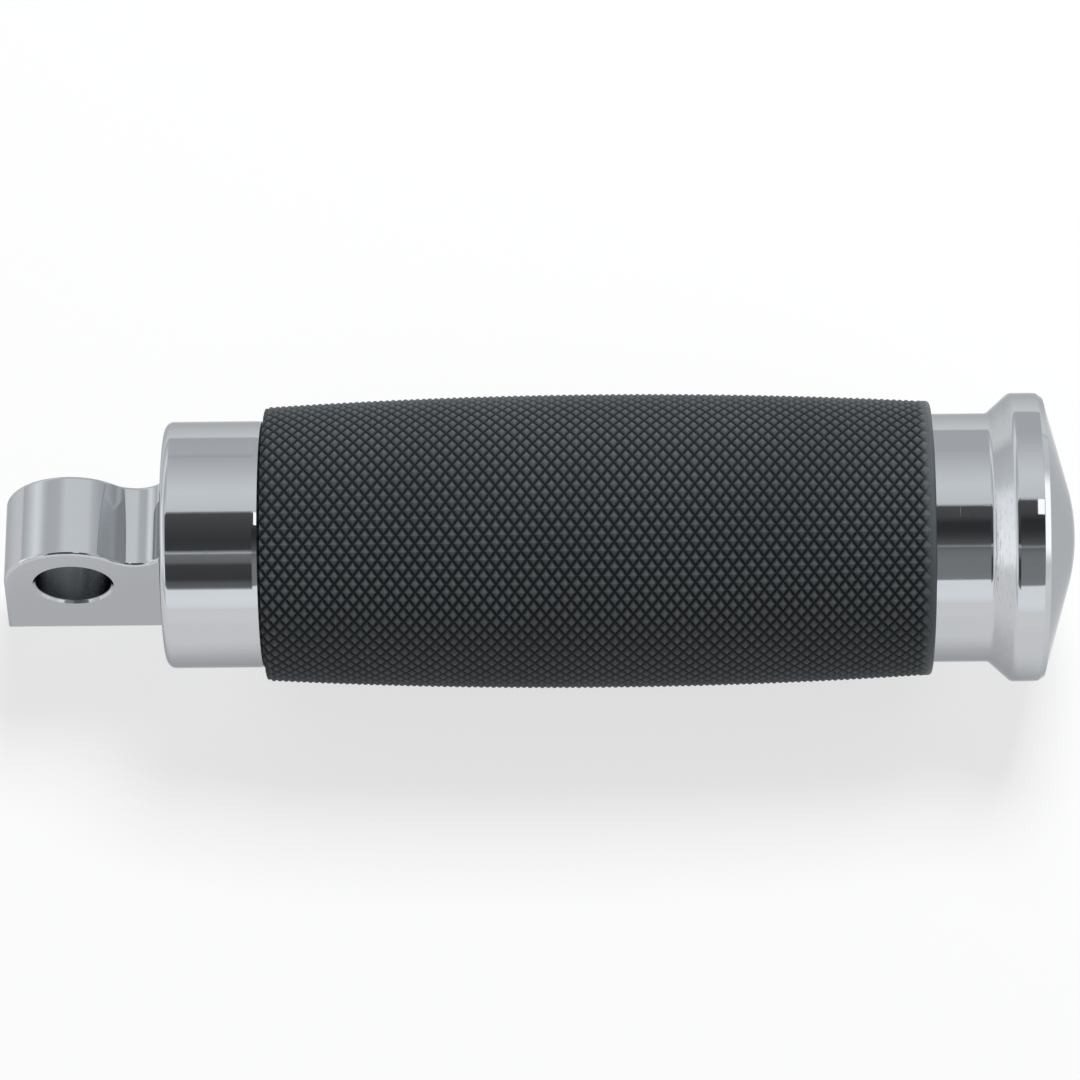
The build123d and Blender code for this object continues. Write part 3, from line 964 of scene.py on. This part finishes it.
print("the brightest tone is", BRIGHTEST, "and dull surfaces get", DULL_LIGHT, "of each")


# %% Glints: a small bright pane in the walls, a window in the inner end and a strip in the outer end
WHITE = (1, 1, 1, 1)
PANE_ALONG = (0.105, 0.115, 0.25, 0.30)  # soft step up, and soft step down again
PANE_ROUND = [round_walls(angle) for angle in (80.46, 80.82, 92.70, 93.06)]
WINDOW_SIDE, WINDOW_TOP, WINDOW_TONE = (0.22, 0.42), (0.15, 0.35), 1.45
STRIP_ACROSS, STRIP_TOP = (-0.34, -0.20, 0.30, 0.50), (0.32, 0.42)


def with_pane(walls, x, turn):
    return (x.between(*PANE_ALONG) * turn.between(*PANE_ROUND)).blend(walls, WHITE)


def with_window(inner_end, y, z):
    window = (1 - y.math("ABSOLUTE", y).smooth(*WINDOW_SIDE)) * (1 - z.smooth(*WINDOW_TOP))
    return window.blend(inner_end, (*grey(WINDOW_TONE / BRIGHTEST, 0.02), 1))


def with_strip(outer_end, y, z):
    return (y.between(*STRIP_ACROSS) * (1 - z.smooth(*STRIP_TOP))).blend(outer_end, WHITE)


print("pane from", round(PANE_ROUND[0] * 360 - 180, 1), "to", round(PANE_ROUND[-1] * 360 - 180, 1), "degrees")


# %% Build the studio
WALLS_MEET = (-0.02, 0.03)
INNER_END_FROM, OUTER_END_FROM = (0.52, 0.58), (0.44, 0.56)
BEHIND, INNER_END_BEHIND = (0.10, 0.35), (0.10, 0.36)  # behind the peg, the inner end comes further round


def make_studio():
    world = bpy.data.worlds.new("studio")
    scene.world = world
    world.use_nodes = True
    tree = world.node_tree
    tree.nodes.clear()
    direction = Wire(tree).add("ShaderNodeTexCoord", output="Generated")
    x = direction.add("ShaderNodeSeparateXYZ", {}, {"Vector": direction}, "X")
    y, z = x.output("Y"), x.output("Z")
    turn = x.math("ARCTAN2", z, y * -1.0) * (0.5 / pi) + 0.5
    inner, outer = [
        tones(turn, [(round_walls(angle), tone) for angle, tone in walls]) for walls in (WALLS_INNER, WALLS_OUTER)
    ]
    walls = with_pane(x.smooth(*WALLS_MEET).blend(inner, outer), x, turn)
    inner_end = with_window(tones(z, END_INNER), y, z)
    outer_end = with_strip(tones(z, END_OUTER), y, z)
    inward, behind = x * -1.0, y.smooth(*BEHIND)
    inner_edge = behind.math("MAXIMUM", inward.smooth(*INNER_END_FROM), inward.smooth(*INNER_END_BEHIND) * behind)
    room = inner_edge.blend(walls, inner_end)
    room = x.smooth(*OUTER_END_FROM).blend(room, outer_end)
    shown = room.add("ShaderNodeBackground", {}, {"Color": room, "Strength": BRIGHTEST})
    shed = room.add("ShaderNodeBackground", {}, {"Color": room, "Strength": BRIGHTEST * DULL_LIGHT})
    light = room.add("ShaderNodeMixShader", {}, {0: looked_at(tree), 1: shed, 2: shown})
    light.add("ShaderNodeOutputWorld", {}, {"Surface": light})
    print("studio nodes:", len(tree.nodes))


make_studio()


# %% Two soft lamps for the dull surfaces: a strong one behind and a weak one in front
PEG_MIDDLE = Vector((0.06, 0, 0))


def soft_lamp(name, place, size, power):
    """A square lamp aimed at the peg. It lights dull surfaces and isn't seen in the chrome."""
    data = bpy.data.lights.new(name, "AREA")
    data.shape = "SQUARE"
    data.size = size
    data.energy = power
    lamp = bpy.data.objects.new(name, data)
    lamp.location = place
    lamp.rotation_euler = (PEG_MIDDLE - Vector(place)).to_track_quat("-Z", "Y").to_euler()
    lamp.visible_glossy = False
    scene.collection.objects.link(lamp)
    print(name, "at", place)


soft_lamp("back_lamp", (0.22, 0.44, 0.78), size=0.4, power=7.7)
soft_lamp("front_lamp", (0.10, -0.45, 0.85), size=0.8, power=0.9)


# %% Camera: a long lens, a little in front and well above
LENS, SENSOR, DISTANCE = 208.25, 36.0, 0.8084
ELEVATION, AZIMUTH, ROLL = 62.61, 1.55, -1.92
AIM_X, AIM_UP = 0.06029, 0.000205


def make_camera():
    raised, turned, rolled = radians(ELEVATION), radians(AZIMUTH), radians(ROLL)
    back = Vector((sin(turned) * cos(raised), -cos(turned) * cos(raised), sin(raised)))
    right = Vector((cos(turned), sin(turned), 0))
    up = back.cross(right)
    right, up = right * cos(rolled) + up * sin(rolled), up * cos(rolled) - right * sin(rolled)
    data = bpy.data.cameras.new("camera")
    data.lens, data.sensor_width = LENS, SENSOR
    data.clip_start, data.clip_end = 0.01, 20
    camera = bpy.data.objects.new("camera", data)
    where = Vector((AIM_X, 0, 0)) + up * AIM_UP + back * DISTANCE
    camera.matrix_world = Matrix.Translation(where) @ Matrix((right, up, back)).transposed().to_4x4()
    scene.collection.objects.link(camera)
    scene.camera = camera
    return camera


camera = make_camera()
scene.view_settings.view_transform = "Standard"
print("camera at", [round(v, 4) for v in camera.matrix_world.translation])
